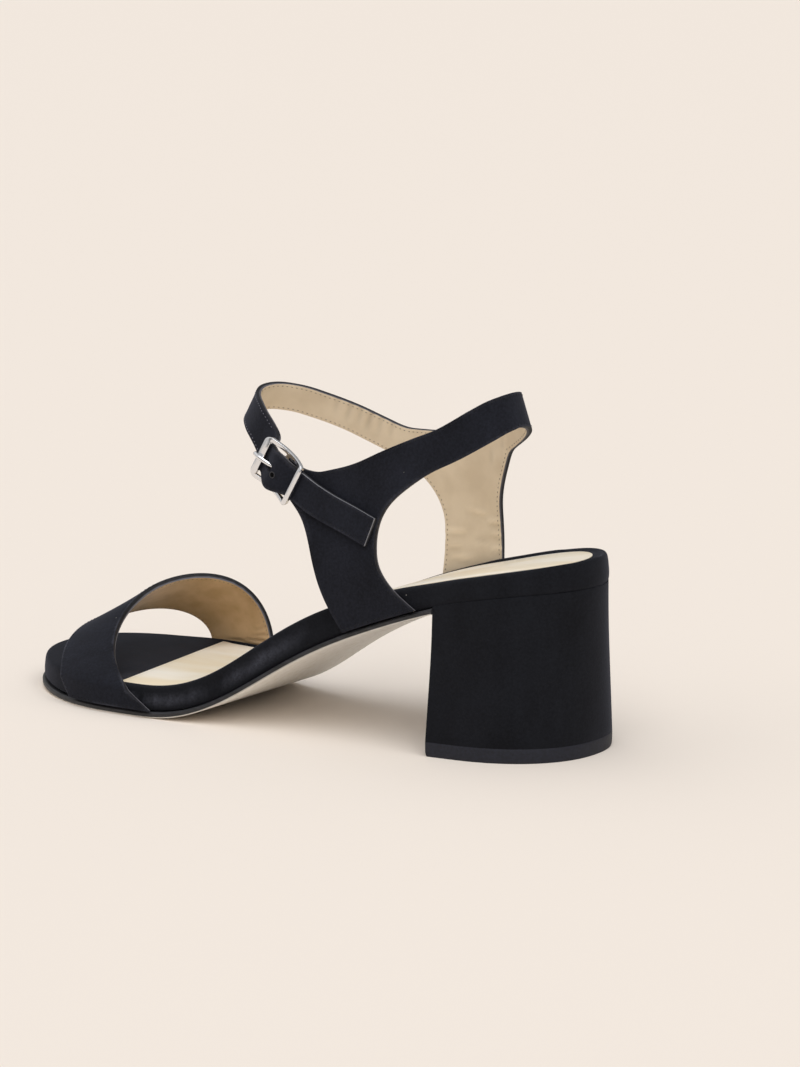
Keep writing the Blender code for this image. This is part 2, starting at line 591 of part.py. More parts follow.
def tube(name, path, radius, finish, closed, sides=8):
    """A round wire along points given as station, y and height."""
    path = np.array(path)
    count = len(path)
    points, faces = [], []
    up = None
    for k in range(count):
        ahead = path[(k + 1) % count if closed else min(k + 1, count - 1)]
        behind = path[k - 1 if closed else max(k - 1, 0)]
        along = (ahead - behind) / np.linalg.norm(ahead - behind)
        if up is None:
            up = np.eye(3)[np.argmin(np.abs(along))]
        up = up - along * (up @ along)
        up /= np.linalg.norm(up)
        other = np.cross(along, up)
        for j in range(sides):
            turn = 2 * math.pi * j / sides
            points.append(path[k] + radius * (math.cos(turn) * up + math.sin(turn) * other))
    first, last = np.array(points[:sides]), np.array(points[-sides:])
    twist = min(range(sides), key=lambda t: np.linalg.norm(np.roll(first, -t, 0) - last))
    for k in range(count if closed else count - 1):
        after = (k + 1) % count
        shift = twist if after == 0 else 0
        for j in range(sides):
            a, b = k * sides + j, k * sides + (j + 1) % sides
            c, d = after * sides + (j + shift) % sides, after * sides + (j + 1 + shift) % sides
            faces.append((a, b, d, c))
    if not closed:
        faces.append(tuple(range(sides)))
        faces.append(tuple(range((count - 1) * sides, count * sides)))
    return make_object(name, points, faces, finish, smooth_angle=50)


def rim_lift(ahead):
    return BAR_LIFT + (RIM_LIFT - BAR_LIFT) * (ahead / BUCKLE_HALF_LENGTH) ** 2


def frame_path():
    """Middle line of the buckle's frame as pairs of ahead and across, rails bowed by rim_lift."""
    half_length, half_width = BUCKLE_HALF_LENGTH - BUCKLE_CORNER, BUCKLE_HALF_WIDTH - BUCKLE_CORNER
    path = []
    for ahead_sign, across_sign, start in ((1, 1, 0), (-1, 1, 90), (-1, -1, 180), (1, -1, 270)):
        for turn in np.radians(np.linspace(start, start + 90, 5)):
            path.append((ahead_sign * half_length + BUCKLE_CORNER * math.cos(turn),
                         across_sign * half_width + BUCKLE_CORNER * math.sin(turn)))
        if across_sign == ahead_sign:
            path += [(share * ahead_sign * half_length, across_sign * BUCKLE_HALF_WIDTH)
                     for share in (0.5, 0.0, -0.5)]
    return path


def make_buckle(finish):
    rim = [on_buckle(ahead, across, rim_lift(ahead)) for ahead, across in frame_path()]
    frame = tube("buckle_frame", rim, BUCKLE_WIRE, finish, True)
    across_bar = np.linspace(-BUCKLE_HALF_WIDTH, BUCKLE_HALF_WIDTH, 4)
    bar_line = [on_buckle(0, across, BAR_LIFT) for across in across_bar]
    bar = tube("buckle_bar", bar_line, BAR_RADIUS, finish, False)
    bar.hide_render = True
    bar.display_type = "WIRE"
    joined = frame.modifiers.new("middle bar", "BOOLEAN")
    joined.operation = "UNION"
    joined.object = bar
    loop = BAR_RADIUS + GAP + PRONG_RADIUS
    rest = RIM_LIFT + BUCKLE_WIRE + GAP + PRONG_RADIUS
    path = [(loop * math.cos(turn), BAR_LIFT + loop * math.sin(turn)) for turn in np.radians(PRONG_TURNS)]
    path += [(ahead, rest - below) for ahead, below in zip(*PRONG.values())]
    prong_line = [on_buckle(ahead, 0.0, lift) for ahead, lift in path]
    tube("buckle_prong", prong_line, PRONG_RADIUS, finish, False)


def main():
    suede = material("black suede", (0.012, 0.012, 0.015), 0.95)
    sole_leather = material("sole leather", (0.55, 0.52, 0.44), 0.6)
    sock_leather = material("sock leather", (0.58, 0.46, 0.31), 0.5)
    rubber = material("top piece rubber", (0.022, 0.023, 0.028), 0.6)
    steel = material("polished steel", (0.75, 0.75, 0.76), 0.15, 1.0)
    make_outsole(sole_leather)
    make_footbed(suede)
    make_sock(sock_leather)
    make_heel(suede, rubber)
    make_toe_strap(suede)
    make_quarter(suede)
    make_buckle(steel)


main()
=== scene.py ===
import math

import bmesh
import bpy
import numpy as np
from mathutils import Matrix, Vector
from mathutils.bvhtree import BVHTree
from mathutils.kdtree import KDTree


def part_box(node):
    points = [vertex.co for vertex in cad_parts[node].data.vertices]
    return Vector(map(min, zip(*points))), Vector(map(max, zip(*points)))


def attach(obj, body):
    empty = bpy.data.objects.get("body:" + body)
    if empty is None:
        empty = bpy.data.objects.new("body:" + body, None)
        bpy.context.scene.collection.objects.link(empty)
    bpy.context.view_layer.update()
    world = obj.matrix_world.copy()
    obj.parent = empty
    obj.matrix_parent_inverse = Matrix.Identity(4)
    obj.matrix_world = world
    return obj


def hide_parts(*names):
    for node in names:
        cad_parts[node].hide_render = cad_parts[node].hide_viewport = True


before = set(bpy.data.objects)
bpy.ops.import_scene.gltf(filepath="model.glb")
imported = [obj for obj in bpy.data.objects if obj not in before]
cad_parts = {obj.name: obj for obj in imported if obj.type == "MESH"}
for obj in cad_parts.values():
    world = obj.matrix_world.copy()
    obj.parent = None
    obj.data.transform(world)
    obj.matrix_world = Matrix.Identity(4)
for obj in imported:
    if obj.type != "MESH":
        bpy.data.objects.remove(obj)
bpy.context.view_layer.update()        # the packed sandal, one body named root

mm = 0.001
rootBody = "root"
broadSuede, broadLining, cutEdge, paleEdge = range(4)   # material slots of a strap


# shared helpers

def linear(hexColour):
    parts = [int(hexColour[i:i + 2], 16) / 255 for i in (1, 3, 5)]
    parts = [c / 12.92 if c <= 0.04045 else ((c + 0.055) / 1.055) ** 2.4 for c in parts]
    return (*parts, 1.0)


def perSize(sizeMm):
    return 1 / (sizeMm * mm)   # texture scale that gives a pattern about this size


def addNode(tree, kind, values=None, links=None, **settings):
    node = tree.nodes.new("ShaderNode" + kind)
    for key, value in settings.items():
        setattr(node, key, value)
    for key, value in (values or {}).items():
        node.inputs[key].default_value = value
    for key, source in (links or {}).items():
        tree.links.new(source, node.inputs[key])
    return node


def newMaterial(name, constants):
    made = bpy.data.materials.new(name)
    made.use_nodes = True
    tree = made.node_tree
    shader = tree.nodes["Principled BSDF"]
    for key, value in constants.items():
        shader.inputs[key].default_value = value
    where = addNode(tree, "TexCoord").outputs["Object"]
    return made, tree, shader, where


def paintRamp(ramp, stops):
    # two stops of a colour ramp, each a place and a hex colour
    for element, (position, hexColour) in zip(ramp.color_ramp.elements, stops):
        element.position = position
        element.color = linear(hexColour)


def meshSurface(mesh, kind=None):
    # all faces of a mesh, or those of one material slot
    faces = [p.vertices for p in mesh.polygons if kind in (None, p.material_index)]
    return BVHTree.FromPolygons([v.co for v in mesh.vertices], faces)


def nodeSurface(nodeName):
    return meshSurface(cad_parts[nodeName].data)


def keepWeight(mesh, label, weights):
    # a number at each point, which a material reads by its label
    mesh.attributes.new(label, "FLOAT", "POINT").data.foreach_set("value", weights)


# weld reach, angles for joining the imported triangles, and the width of faces too thin to keep
meshLook = {"weldMm": 0.001, "flatWithin": 25, "squareWithin": 60, "sliverMm": 0.004}


def weldedCopy(nodeName):
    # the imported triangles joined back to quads, in a mesh of their own
    bm = bmesh.new()
    bm.from_mesh(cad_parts[nodeName].data)
    bmesh.ops.remove_doubles(bm, verts=bm.verts, dist=meshLook["weldMm"] * mm)
    bmesh.ops.join_triangles(bm, faces=bm.faces, angle_face_threshold=math.radians(meshLook["flatWithin"]),
                             angle_shape_threshold=math.radians(meshLook["squareWithin"]))
    bm.verts.index_update()
    bm.normal_update()
    return bm


def seat(bm, nodeName, reachMm):
    # glued seams have no gap: points this near the neighbour are drawn onto it
    surface = nodeSurface(nodeName)
    for vert in bm.verts:
        spot = surface.find_nearest(vert.co, reachMm * mm)
        if spot[0] is not None:
            vert.co = spot[0]
    bm.normal_update()


def place(piece, nodeName=None):
    bpy.context.collection.objects.link(piece)
    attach(piece, rootBody)
    if nodeName:
        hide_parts(nodeName)
    return piece


def finishPiece(name, bm, materials, nodeName, sharp=45, rounds=2, edgeRoundMm=0.3):
    # edges sharper than this angle stay under the subdivision and are rounded after it
    creases = bm.edges.layers.float.new("crease_edge")
    for edge in bm.edges:
        if len(edge.link_faces) == 2 and edge.calc_face_angle() > math.radians(sharp):
            edge[creases] = 1.0
    mesh = bpy.data.meshes.new(name)
    bm.to_mesh(mesh)
    bm.free()
    for material in materials:
        mesh.materials.append(material)
    rough = bpy.data.objects.new(name + "Rough", mesh)
    bpy.context.collection.objects.link(rough)
    swell = rough.modifiers.new("swell", "SUBSURF")
    swell.levels = swell.render_levels = rounds
    if edgeRoundMm:
        soften = rough.modifiers.new("soften", "BEVEL")
        soften.width = edgeRoundMm * mm
        soften.segments = 2
        soften.limit_method = "ANGLE"
        soften.angle_limit = math.radians(sharp)
    bpy.context.view_layer.update()
    seen = rough.evaluated_get(bpy.context.evaluated_depsgraph_get())
    final = bpy.data.meshes.new_from_object(seen)
    final.name = name
    bpy.data.objects.remove(rough)
    clean = bmesh.new()
    clean.from_mesh(final)
    bmesh.ops.dissolve_degenerate(clean, dist=meshLook["sliverMm"] * mm, edges=clean.edges)
    clean.to_mesh(final)
    clean.free()
    final.shade_smooth()
    return place(bpy.data.objects.new(name, final), nodeName)


def meshPiece(name, points, faces, material, nodeName=None, sharp=None):
    mesh = bpy.data.meshes.new(name)
    mesh.from_pydata([tuple(p) for p in points], [], [tuple(f) for f in faces])
    mesh.materials.append(material)
    mesh.shade_smooth()
    if sharp:
        mesh.set_sharp_from_angle(angle=math.radians(sharp))
    return place(bpy.data.objects.new(name, mesh), nodeName)


# materials

# the nap is drawn coarser than real fibre, so that it shows
suedeLook = {"rubbed": "#484952", "lint": "#74736f", "bloom": "#8c8fa2", "sheen": 0.24,
             "napMm": 0.9, "napReliefMm": 0.12, "strokeMm": 15, "strokeDrawn": (1.0, 1.6, 0.5),
             "lintMm": 10, "lintShare": 0.022}


def blackSuede(name, wornAndHighlightAlong, deep, brushed):
    # split leather buffed to a nap: no gloss, a velvet bloom at grazing angles, brushed patches
    made, tree, shader, where = newMaterial(name, {
        "Roughness": 0.95, "Specular IOR Level": 0.2, "Sheen Weight": suedeLook["sheen"],
        "Sheen Roughness": 0.42, "Sheen Tint": linear(suedeLook["bloom"])})
    drawn = addNode(tree, "Mapping", {"Scale": suedeLook["strokeDrawn"]}, {"Vector": where})
    strokes = addNode(tree, "TexNoise", {"Scale": perSize(suedeLook["strokeMm"]), "Detail": 4.0},
                      {"Vector": drawn.outputs[0]})
    nap = addNode(tree, "TexNoise", {"Scale": perSize(suedeLook["napMm"]), "Detail": 3.0,
                                     "Roughness": 0.65}, {"Vector": where})
    half = addNode(tree, "Math", {1: 0.5}, {0: strokes.outputs[0]}, operation="MULTIPLY")
    both = addNode(tree, "Math", {1: 0.5}, {0: nap.outputs[0], 2: half.outputs[0]},
                   operation="MULTIPLY_ADD")
    tone = addNode(tree, "ValToRGB", links={"Fac": both.outputs[0]})
    paintRamp(tone, ((0.36, deep), (0.66, brushed)))
    # nap painted paler along an edge or ledge, by the weight kept on the mesh: partly rubbed nap, partly
    # painted highlight
    worn = addNode(tree, "Attribute", attribute_name=wornAndHighlightAlong)
    broken = addNode(tree, "MapRange", {"From Min": 0.38, "From Max": 0.62}, {"Value": strokes.outputs[0]})
    fuzzy = addNode(tree, "MapRange", {"From Min": 0.3, "From Max": 0.6, "To Min": 0.45},
                    {"Value": nap.outputs[0]})
    streaky = addNode(tree, "Math", links={0: broken.outputs[0], 1: fuzzy.outputs[0]}, operation="MULTIPLY")
    patchy = addNode(tree, "Math", links={0: worn.outputs["Fac"], 1: streaky.outputs[0]},
                     operation="MULTIPLY")
    rubbed = addNode(tree, "Mix", {"B": linear(suedeLook["rubbed"])},
                     {"Factor": patchy.outputs[0], "A": tone.outputs[0]}, data_type="RGBA")
    dust = addNode(tree, "TexVoronoi", {"Scale": perSize(suedeLook["lintMm"])}, {"Vector": where})
    speck = addNode(tree, "Math", {1: suedeLook["lintShare"]}, {0: dust.outputs["Distance"]},
                    operation="LESS_THAN")
    dusted = addNode(tree, "Mix", {"B": linear(suedeLook["lint"])},
                     {"Factor": speck.outputs[0], "A": rubbed.outputs["Result"]}, data_type="RGBA")
    tree.links.new(dusted.outputs["Result"], shader.inputs["Base Color"])
    bump = addNode(tree, "Bump", {"Strength": 0.5, "Distance": suedeLook["napReliefMm"] * mm},
                   {"Height": nap.outputs[0]})
    tree.links.new(bump.outputs[0], shader.inputs["Normal"])
    return made


# pores drawn coarser than real ones, so that they show
liningLook = {"grainMm": 1.0, "grainReliefMm": 0.05, "cloudMm": 9}


def liningLeather(name, hide, shade):
    # dyed and pressed lining hide: smooth and a little waxy, even in tone with faint clouds
    made, tree, shader, where = newMaterial(name, {"Roughness": 0.4, "Specular IOR Level": 0.5})
    clouds = addNode(tree, "TexNoise", {"Scale": perSize(liningLook["cloudMm"]), "Detail": 3.0},
                     {"Vector": where})
    tone = addNode(tree, "ValToRGB", links={"Fac": clouds.outputs[0]})
    paintRamp(tone, ((0.3, shade), (0.62, hide)))
    # painted shade darkens the lining in a trough and a painted highlight lightens it on a ridge
    crease = addNode(tree, "Attribute", attribute_name="crease")
    bright = addNode(tree, "MapRange", {"From Min": -0.8, "From Max": 1.0, "To Min": 1.16, "To Max": 0.8},
                     {"Value": crease.outputs["Fac"]})
    tint = addNode(tree, "HueSaturation", links={"Color": tone.outputs[0], "Value": bright.outputs[0]})
    tree.links.new(tint.outputs[0], shader.inputs["Base Color"])
    grain = addNode(tree, "TexVoronoi", {"Scale": perSize(liningLook["grainMm"])}, {"Vector": where})
    pores = addNode(tree, "Bump", {"Strength": 0.2, "Distance": liningLook["grainReliefMm"] * mm},
                    {"Height": grain.outputs["Distance"]})
    tree.links.new(pores.outputs[0], shader.inputs["Normal"])
    return made


edgeLook = {"rippleMm": 1.5, "rippleReliefMm": 0.08}


def sealedEdge(name, dark, pale, fringe=None, roughness=0.55, specular=0.5):
    # cut edge sealed with edge paint: slightly waxy, so it catches a thin line of light
    made, tree, shader, where = newMaterial(name, {"Roughness": roughness, "Specular IOR Level": specular})
    ripple = addNode(tree, "TexNoise", {"Scale": perSize(edgeLook["rippleMm"]), "Detail": 2.0},
                     {"Vector": where})
    tone = addNode(tree, "ValToRGB", links={"Fac": ripple.outputs[0]})
    paintRamp(tone, ((0.3, dark), (0.7, pale)))
    colour = tone.outputs[0]
    if fringe:
        # bare fibre in a thin line, where the weight kept on the mesh is high
        label, fibre = fringe
        along = addNode(tree, "Attribute", attribute_name=label)
        mixed = addNode(tree, "Mix", {"B": linear(fibre)}, {"Factor": along.outputs["Fac"], "A": colour},
                        data_type="RGBA")
        colour = mixed.outputs["Result"]
    tree.links.new(colour, shader.inputs["Base Color"])
    bump = addNode(tree, "Bump", {"Strength": 0.3, "Distance": edgeLook["rippleReliefMm"] * mm},
                   {"Height": ripple.outputs[0]})
    tree.links.new(bump.outputs[0], shader.inputs["Normal"])
    return made


# grain drawn coarser than the real one, so that it shows
sockLook = {"hide": "#eedfc3", "pale": "#f9f2e5", "grainMm": 0.8, "grainReliefMm": 0.04,
            "streakMm": 16, "streakReliefMm": 0.4, "streakDrawn": (0.22, 1.0, 1.0)}


def sockLeather():
    # finished insole hide with a light pearl topcoat: smooth, with pale streaks of painted glare along the
    # foot
    made, tree, shader, where = newMaterial("sockLeatherPearlFinish", {
        "Roughness": 0.45, "Specular IOR Level": 0.35, "Coat Weight": 0.08, "Coat Roughness": 0.3})
    drawn = addNode(tree, "Mapping", {"Scale": sockLook["streakDrawn"]}, {"Vector": where})
    streaks = addNode(tree, "TexNoise", {"Scale": perSize(sockLook["streakMm"]), "Detail": 3.0},
                      {"Vector": drawn.outputs[0]})
    # pale streaks of painted glare on the sock
    tone = addNode(tree, "ValToRGB", links={"Fac": streaks.outputs[0]})
    paintRamp(tone, ((0.38, sockLook["hide"]), (0.62, sockLook["pale"])))
    tree.links.new(tone.outputs[0], shader.inputs["Base Color"])
    grain = addNode(tree, "TexVoronoi", {"Scale": perSize(sockLook["grainMm"])}, {"Vector": where})
    fine = addNode(tree, "Bump", {"Strength": 0.2, "Distance": sockLook["grainReliefMm"] * mm},
                   {"Height": grain.outputs["Distance"]})
    soft = addNode(tree, "Bump", {"Strength": 0.3, "Distance": sockLook["streakReliefMm"] * mm},
                   {"Height": streaks.outputs[0], "Normal": fine.outputs[0]})
    tree.links.new(soft.outputs[0], shader.inputs["Normal"])
    return made


# fibre bundles drawn coarser than real ones, so that they show
soleLook = {"hide": "#f4f1ea", "worn": "#e4ded2", "ink": "#151518", "inkRubbed": "#2e2e33",
            "fibreMm": 1.3, "fibreReliefMm": 0.1, "fibreDrawn": (0.25, 1.0, 1.0)}


def soleLeather():
    # vegetable tanned sole bend, rolled hard: cream and faintly fibrous, its edge inked black
    made, tree, shader, where = newMaterial("soleLeatherRolledInked", {"Roughness": 0.5})
    drawn = addNode(tree, "Mapping", {"Scale": soleLook["fibreDrawn"]}, {"Vector": where})
    fibre = addNode(tree, "TexNoise", {"Scale": perSize(soleLook["fibreMm"]), "Detail": 5.0},
                    {"Vector": drawn.outputs[0]})
    bare = addNode(tree, "ValToRGB", links={"Fac": fibre.outputs[0]})
    paintRamp(bare, ((0.3, soleLook["worn"]), (0.55, soleLook["hide"])))
    ink = addNode(tree, "ValToRGB", links={"Fac": fibre.outputs[0]})
    paintRamp(ink, ((0.35, soleLook["ink"]), (0.75, soleLook["inkRubbed"])))
    below = addNode(tree, "Attribute", attribute_name="underside")
    both = addNode(tree, "Mix", links={"Factor": below.outputs["Fac"], "A": ink.outputs[0],
                                       "B": bare.outputs[0]}, data_type="RGBA")
    tree.links.new(both.outputs["Result"], shader.inputs["Base Color"])
    bump = addNode(tree, "Bump", {"Strength": 0.25, "Distance": soleLook["fibreReliefMm"] * mm},
                   {"Height": fibre.outputs[0]})
    tree.links.new(bump.outputs[0], shader.inputs["Normal"])
    return made


# filler drawn coarser than the real grit, so that it shows
rubberLook = {"dark": "#0f111b", "pale": "#1a1d2a", "fillerMm": 0.9, "fillerReliefMm": 0.06}


def topPieceRubber():
    # moulded heel rubber: satin, faintly speckled with filler
    made, tree, shader, where = newMaterial("heelRubberMoulded", {
        "Roughness": 0.6, "Specular IOR Level": 0.4})
    speckle = addNode(tree, "TexNoise", {"Scale": perSize(rubberLook["fillerMm"]), "Detail": 4.0},
                      {"Vector": where})
    tone = addNode(tree, "ValToRGB", links={"Fac": speckle.outputs[0]})
    paintRamp(tone, ((0.3, rubberLook["dark"]), (0.7, rubberLook["pale"])))
    tree.links.new(tone.outputs[0], shader.inputs["Base Color"])
    bump = addNode(tree, "Bump", {"Strength": 0.2, "Distance": rubberLook["fillerReliefMm"] * mm},
                   {"Height": speckle.outputs[0]})
    tree.links.new(bump.outputs[0], shader.inputs["Normal"])
    return made


nickelLook = {"plate": "#e6e6e8", "hazeMm": 2.5, "polished": 0.06, "hazy": 0.18}


def polishedNickel():
    # zinc casting tumbled and nickel plated: mirror bright, with faint polishing haze
    made, tree, shader, where = newMaterial("nickelPlatePolished", {
        "Metallic": 1.0, "Base Color": linear(nickelLook["plate"])})
    haze = addNode(tree, "TexNoise", {"Scale": perSize(nickelLook["hazeMm"]), "Detail": 4.0},
                   {"Vector": where})
    rough = addNode(tree, "MapRange", {"To Min": nickelLook["polished"], "To Max": nickelLook["hazy"]},
                    {"Value": haze.outputs[0]})
    tree.links.new(rough.outputs[0], shader.inputs["Roughness"])
    return made


# the twist is drawn coarser than real plies, so that it shows
threadLook = {"twistMm": 0.5, "shadow": 0.8, "crest": 1.2}


def waxedThread(name, hexColour, roughness):
    # bonded polyester thread, waxed: a soft highlight on each stitch
    made, tree, shader, where = newMaterial(name, {"Roughness": roughness})
    twist = addNode(tree, "TexNoise", {"Scale": perSize(threadLook["twistMm"])}, {"Vector": where})
    bright = addNode(tree, "MapRange", {"To Min": threadLook["shadow"], "To Max": threadLook["crest"]},
                     {"Value": twist.outputs[0]})
    tint = addNode(tree, "HueSaturation", {"Color": linear(hexColour)}, {"Value": bright.outputs[0]})
    tree.links.new(tint.outputs[0], shader.inputs["Base Color"])
    return made


# the strap suede is painted lighter and the wrap suede darker: lit and shaded copies of one black suede
suedeStrapLit = blackSuede("blackSuedeStrapNappedPaintedLight", "rim", "#0f1016", "#1f212a")
suedeWrapShaded = blackSuede("blackSuedeWrapNappedPaintedShade", "ledge", "#0a0b10", "#17191f")
ankleLining = liningLeather("liningLeatherBeige", "#dfceb4", "#d4c2a7")
# the toe strap's lining is a darker, warmer copy of the beige lining, its darkness painted shade inside the
# toe strap
toeLiningShaded = liningLeather("liningLeatherTanShaded", "#d3b287", "#b8966a")
darkSeal = sealedEdge("edgePaintDark", "#0e0e12", "#1f1f25", ("hem", "#69676d"), 0.7, 0.35)
paleSeal = sealedEdge("edgePaintFrayed", "#0e0e12", "#1f1f25", ("fray", "#8f8f94"), 0.7, 0.35)
sockHide = sockLeather()
soleHide = soleLeather()
heelRubber = topPieceRubber()
nickel = polishedNickel()
quarterThread = waxedThread("blackThreadWaxed", "#0b0b0f", 0.9)
ankleThread = waxedThread("greyThreadWaxed", "#666670", 0.6)
liningThread = waxedThread("beigeThreadWaxed", "#8a7c6e", 0.6)
holeRim = sealedEdge("punchedHoleRim", "#1c1c21", "#28282e")
holePaintedShade = sealedEdge("punchedHolePaintedShade", "#020203", "#050506", roughness=1.0, specular=0.1)
print("materials made:", len(bpy.data.materials))


# outsole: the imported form, glued on, bare below and inked at its edge

outsoleLook = {"seatMm": 0.45, "bareFacing": (0.35, 0.8), "sharp": 38, "edgeRoundMm": 0.15}


def makeOutsole():
    bm = weldedCopy("outsole")
    seat(bm, "footbed", outsoleLook["seatMm"])
    outsole = finishPiece("leatherOutsole", bm, [soleHide], "outsole",
                          sharp=outsoleLook["sharp"], edgeRoundMm=outsoleLook["edgeRoundMm"])
    facingDown = [-vert.normal.z for vert in outsole.data.vertices]
    keepWeight(outsole.data, "underside", np.interp(facingDown, outsoleLook["bareFacing"], [0.0, 1.0]))


# footbed: wrapped in suede, its ledge painted paler as rubbed nap and painted highlight, and rolled up
# round the heel

footbedLook = {"sharp": 62, "rollMm": 1.0, "rollClearMm": 1.4, "rollFacing": 0.25, "rollFromMm": (25, 60),
               "rollInnerMm": (0, 14), "rollRearMm": (98, 108), "rollRearShare": 0.8,
               "ledgeBelowMm": (3.0, 7.0), "ledgeTilt": (0.12, 0.8), "ledgeAtMm": (-92, -68, -45, 45)}


def markLedgeWearAndHighlight(bm):
    # weight for the paler nap and painted highlight on the footbed's wrapped ledge, a slanted strip well
    # below its top whose faces tilt upwards
    layer = bm.verts.layers.float.new("ledge")
    surface = BVHTree.FromBMesh(bm)
    near, far = footbedLook["ledgeBelowMm"]
    low, high = footbedLook["ledgeTilt"]
    for face in bm.faces:
        middle = face.calc_center_median()
        top = surface.ray_cast(Vector((middle.x, 0.0, 1.0)), Vector((0, 0, -1)))[0]
        if top and near * mm < top.z - middle.z < far * mm and low < face.normal.z < high:
            for vert in face.verts:
                vert[layer] = np.interp(vert.co.x / mm, footbedLook["ledgeAtMm"], [0.0, 1.0, 1.0, 0.0])


def rollBorder(bm):
    # the suede turned over the heel's inner and rear border stands a little proud of the sock
    sock = nodeSurface("insole_sock")
    clear = footbedLook["rollClearMm"] * mm
    for vert in bm.verts:
        if sock.find_nearest(vert.co)[3] < clear or vert.normal.z < footbedLook["rollFacing"]:
            continue
        x, y = vert.co.x / mm, vert.co.y / mm
        share = max(np.interp(y, footbedLook["rollInnerMm"], [0, 1]),
                    np.interp(x, footbedLook["rollRearMm"], [0, footbedLook["rollRearShare"]]))
        vert.co.z += footbedLook["rollMm"] * mm * share * np.interp(x, footbedLook["rollFromMm"], [0, 1])
    bm.normal_update()


def makeFootbed():
    bm = weldedCopy("footbed")
    markLedgeWearAndHighlight(bm)
    rollBorder(bm)
    finishPiece("suedeFootbed", bm, [suedeWrapShaded], "footbed",
                sharp=footbedLook["sharp"], edgeRoundMm=0.0)


# sock: a thin sheet glued in its bed, its top level with the suede border round it

sheetLook = {"seatMm": 0.6, "thickMm": 0.5, "trimMm": 2.4, "trimFromMm": 70, "narrow": 0.03, "probeMm": 4}


def thinSock(bm):
    surface = nodeSurface("footbed")
    rear = max(vert.co.x for vert in bm.verts)
    start = sheetLook["trimFromMm"] * mm
    thick = sheetLook["thickMm"] * mm
    for vert in bm.verts:
        share = max(0.0, (vert.co.x - start) / (rear - start))
        vert.co.x -= sheetLook["trimMm"] * mm * share ** 2
        vert.co.y *= 1 - sheetLook["narrow"] * share
    for vert in bm.verts:
        above = vert.co + Vector((0, 0, sheetLook["probeMm"] * mm))
        bed = surface.ray_cast(above, Vector((0, 0, -1)))[0]
        if bed and vert.co.z - bed.z > thick:
            vert.co.z = bed.z + thick
    bm.normal_update()


def makeSock():
    bm = weldedCopy("insole_sock")
    seat(bm, "footbed", sheetLook["seatMm"])
    thinSock(bm)
    finishPiece("leatherSock", bm, [sockHide], "insole_sock")


# heel: covered block and moulded top piece

heelLook = {"seatMm": 0.45, "flushMm": 0.55, "flushDownMm": 14, "sideFacing": 0.3, "raiseMm": 0.4,
            "topWithinMm": 0.05, "edgeRoundMm": 0.2, "rubberSharp": 40, "rubberRoundMm": 0.25}


def flushHeel(bm):
    # the cover runs over heel and footbed in one line, so the top of the heel swells to meet it
    surface = nodeSurface("footbed")
    for vert in bm.verts:
        below = surface.find_nearest(vert.co)[3]
        share = max(0.0, 1 - below / (heelLook["flushDownMm"] * mm))
        out = Vector((vert.normal.x, vert.normal.y, 0.0))
        if out.length > heelLook["sideFacing"]:
            vert.co += out.normalized() * heelLook["flushMm"] * mm * share
        if below < heelLook["topWithinMm"] * mm:
            vert.co.z += heelLook["raiseMm"] * mm
    bm.normal_update()


def makeHeel():
    bm = weldedCopy("heel_block")
    seat(bm, "footbed", heelLook["seatMm"])
    seat(bm, "heel_top_piece", heelLook["seatMm"])
    flushHeel(bm)
    finishPiece("suedeHeel", bm, [suedeWrapShaded], "heel_block",
                edgeRoundMm=heelLook["edgeRoundMm"])
    bm = weldedCopy("heel_top_piece")
    finishPiece("rubberTopPiece", bm, [heelRubber], "heel_top_piece",
                sharp=heelLook["rubberSharp"], edgeRoundMm=heelLook["rubberRoundMm"])


makeOutsole()
makeFootbed()
makeSock()
makeHeel()
print("sole, footbed, sock and heel dressed")


# straps: suede outside, lining inside, and a sealed edge between the two

strapLook = {"patchAngle": 52, "sharp": 48, "edgeRoundMm": 0.28, "overMm": 4.0, "clearMm": 0.15,
             "shortRun": 6, "sampleMm": 0.6,
             "rimMm": (0.2, 1.1), "frayMm": (0.3, 0.7), "hemMm": (0.35, 0.75)}


def facePatches(bm):
    # groups of faces that no sharp edge divides, the broadest first
    seen, patches = set(), []
    for first in bm.faces:
        if first in seen:
            continue
        seen.add(first)
        members, waiting = [], [first]
        while waiting:
            face = waiting.pop()
            members.append(face)
            for edge in face.edges:
                if edge.calc_face_angle(math.pi) > math.radians(strapLook["patchAngle"]):
                    continue
                for other in edge.link_faces:
                    if other not in seen:
                        seen.add(other)
                        waiting.append(other)
        patches.append(members)
    return sorted(patches, key=lambda members: -sum(face.calc_area() for face in members))


def sortFaces(bm, axisPoint, upright):
    # the two broadest patches are suede and lining, the rest is cut edge
    def facingOut(members):
        total = 0.0
        for face in members:
            out = face.calc_center_median() - axisPoint
            if upright:
                out.z = 0.0
            total += face.calc_area() * face.normal.dot(out)
        return total

    broadest = facePatches(bm)[:2]
    for face in bm.faces:
        face.material_index = cutEdge
    for kind, members in zip((broadSuede, broadLining), sorted(broadest, key=facingOut, reverse=True)):
        for face in members:
            face.material_index = kind


def markPaleEdge(bm):
    # the free end's edge lies over the quarter's suede: it was cut later and left grey
    surface = BVHTree.FromBMesh(bm)
    bm.faces.ensure_lookup_table()
    for face in bm.faces:
        if face.material_index != cutEdge:
            continue
        start = face.calc_center_median() + face.normal * strapLook["clearMm"] * mm
        hit = surface.ray_cast(start, Vector((0, 1, 0)), strapLook["overMm"] * mm)
        if hit[0] and bm.faces[hit[2]].material_index == broadSuede:
            face.material_index = paleEdge


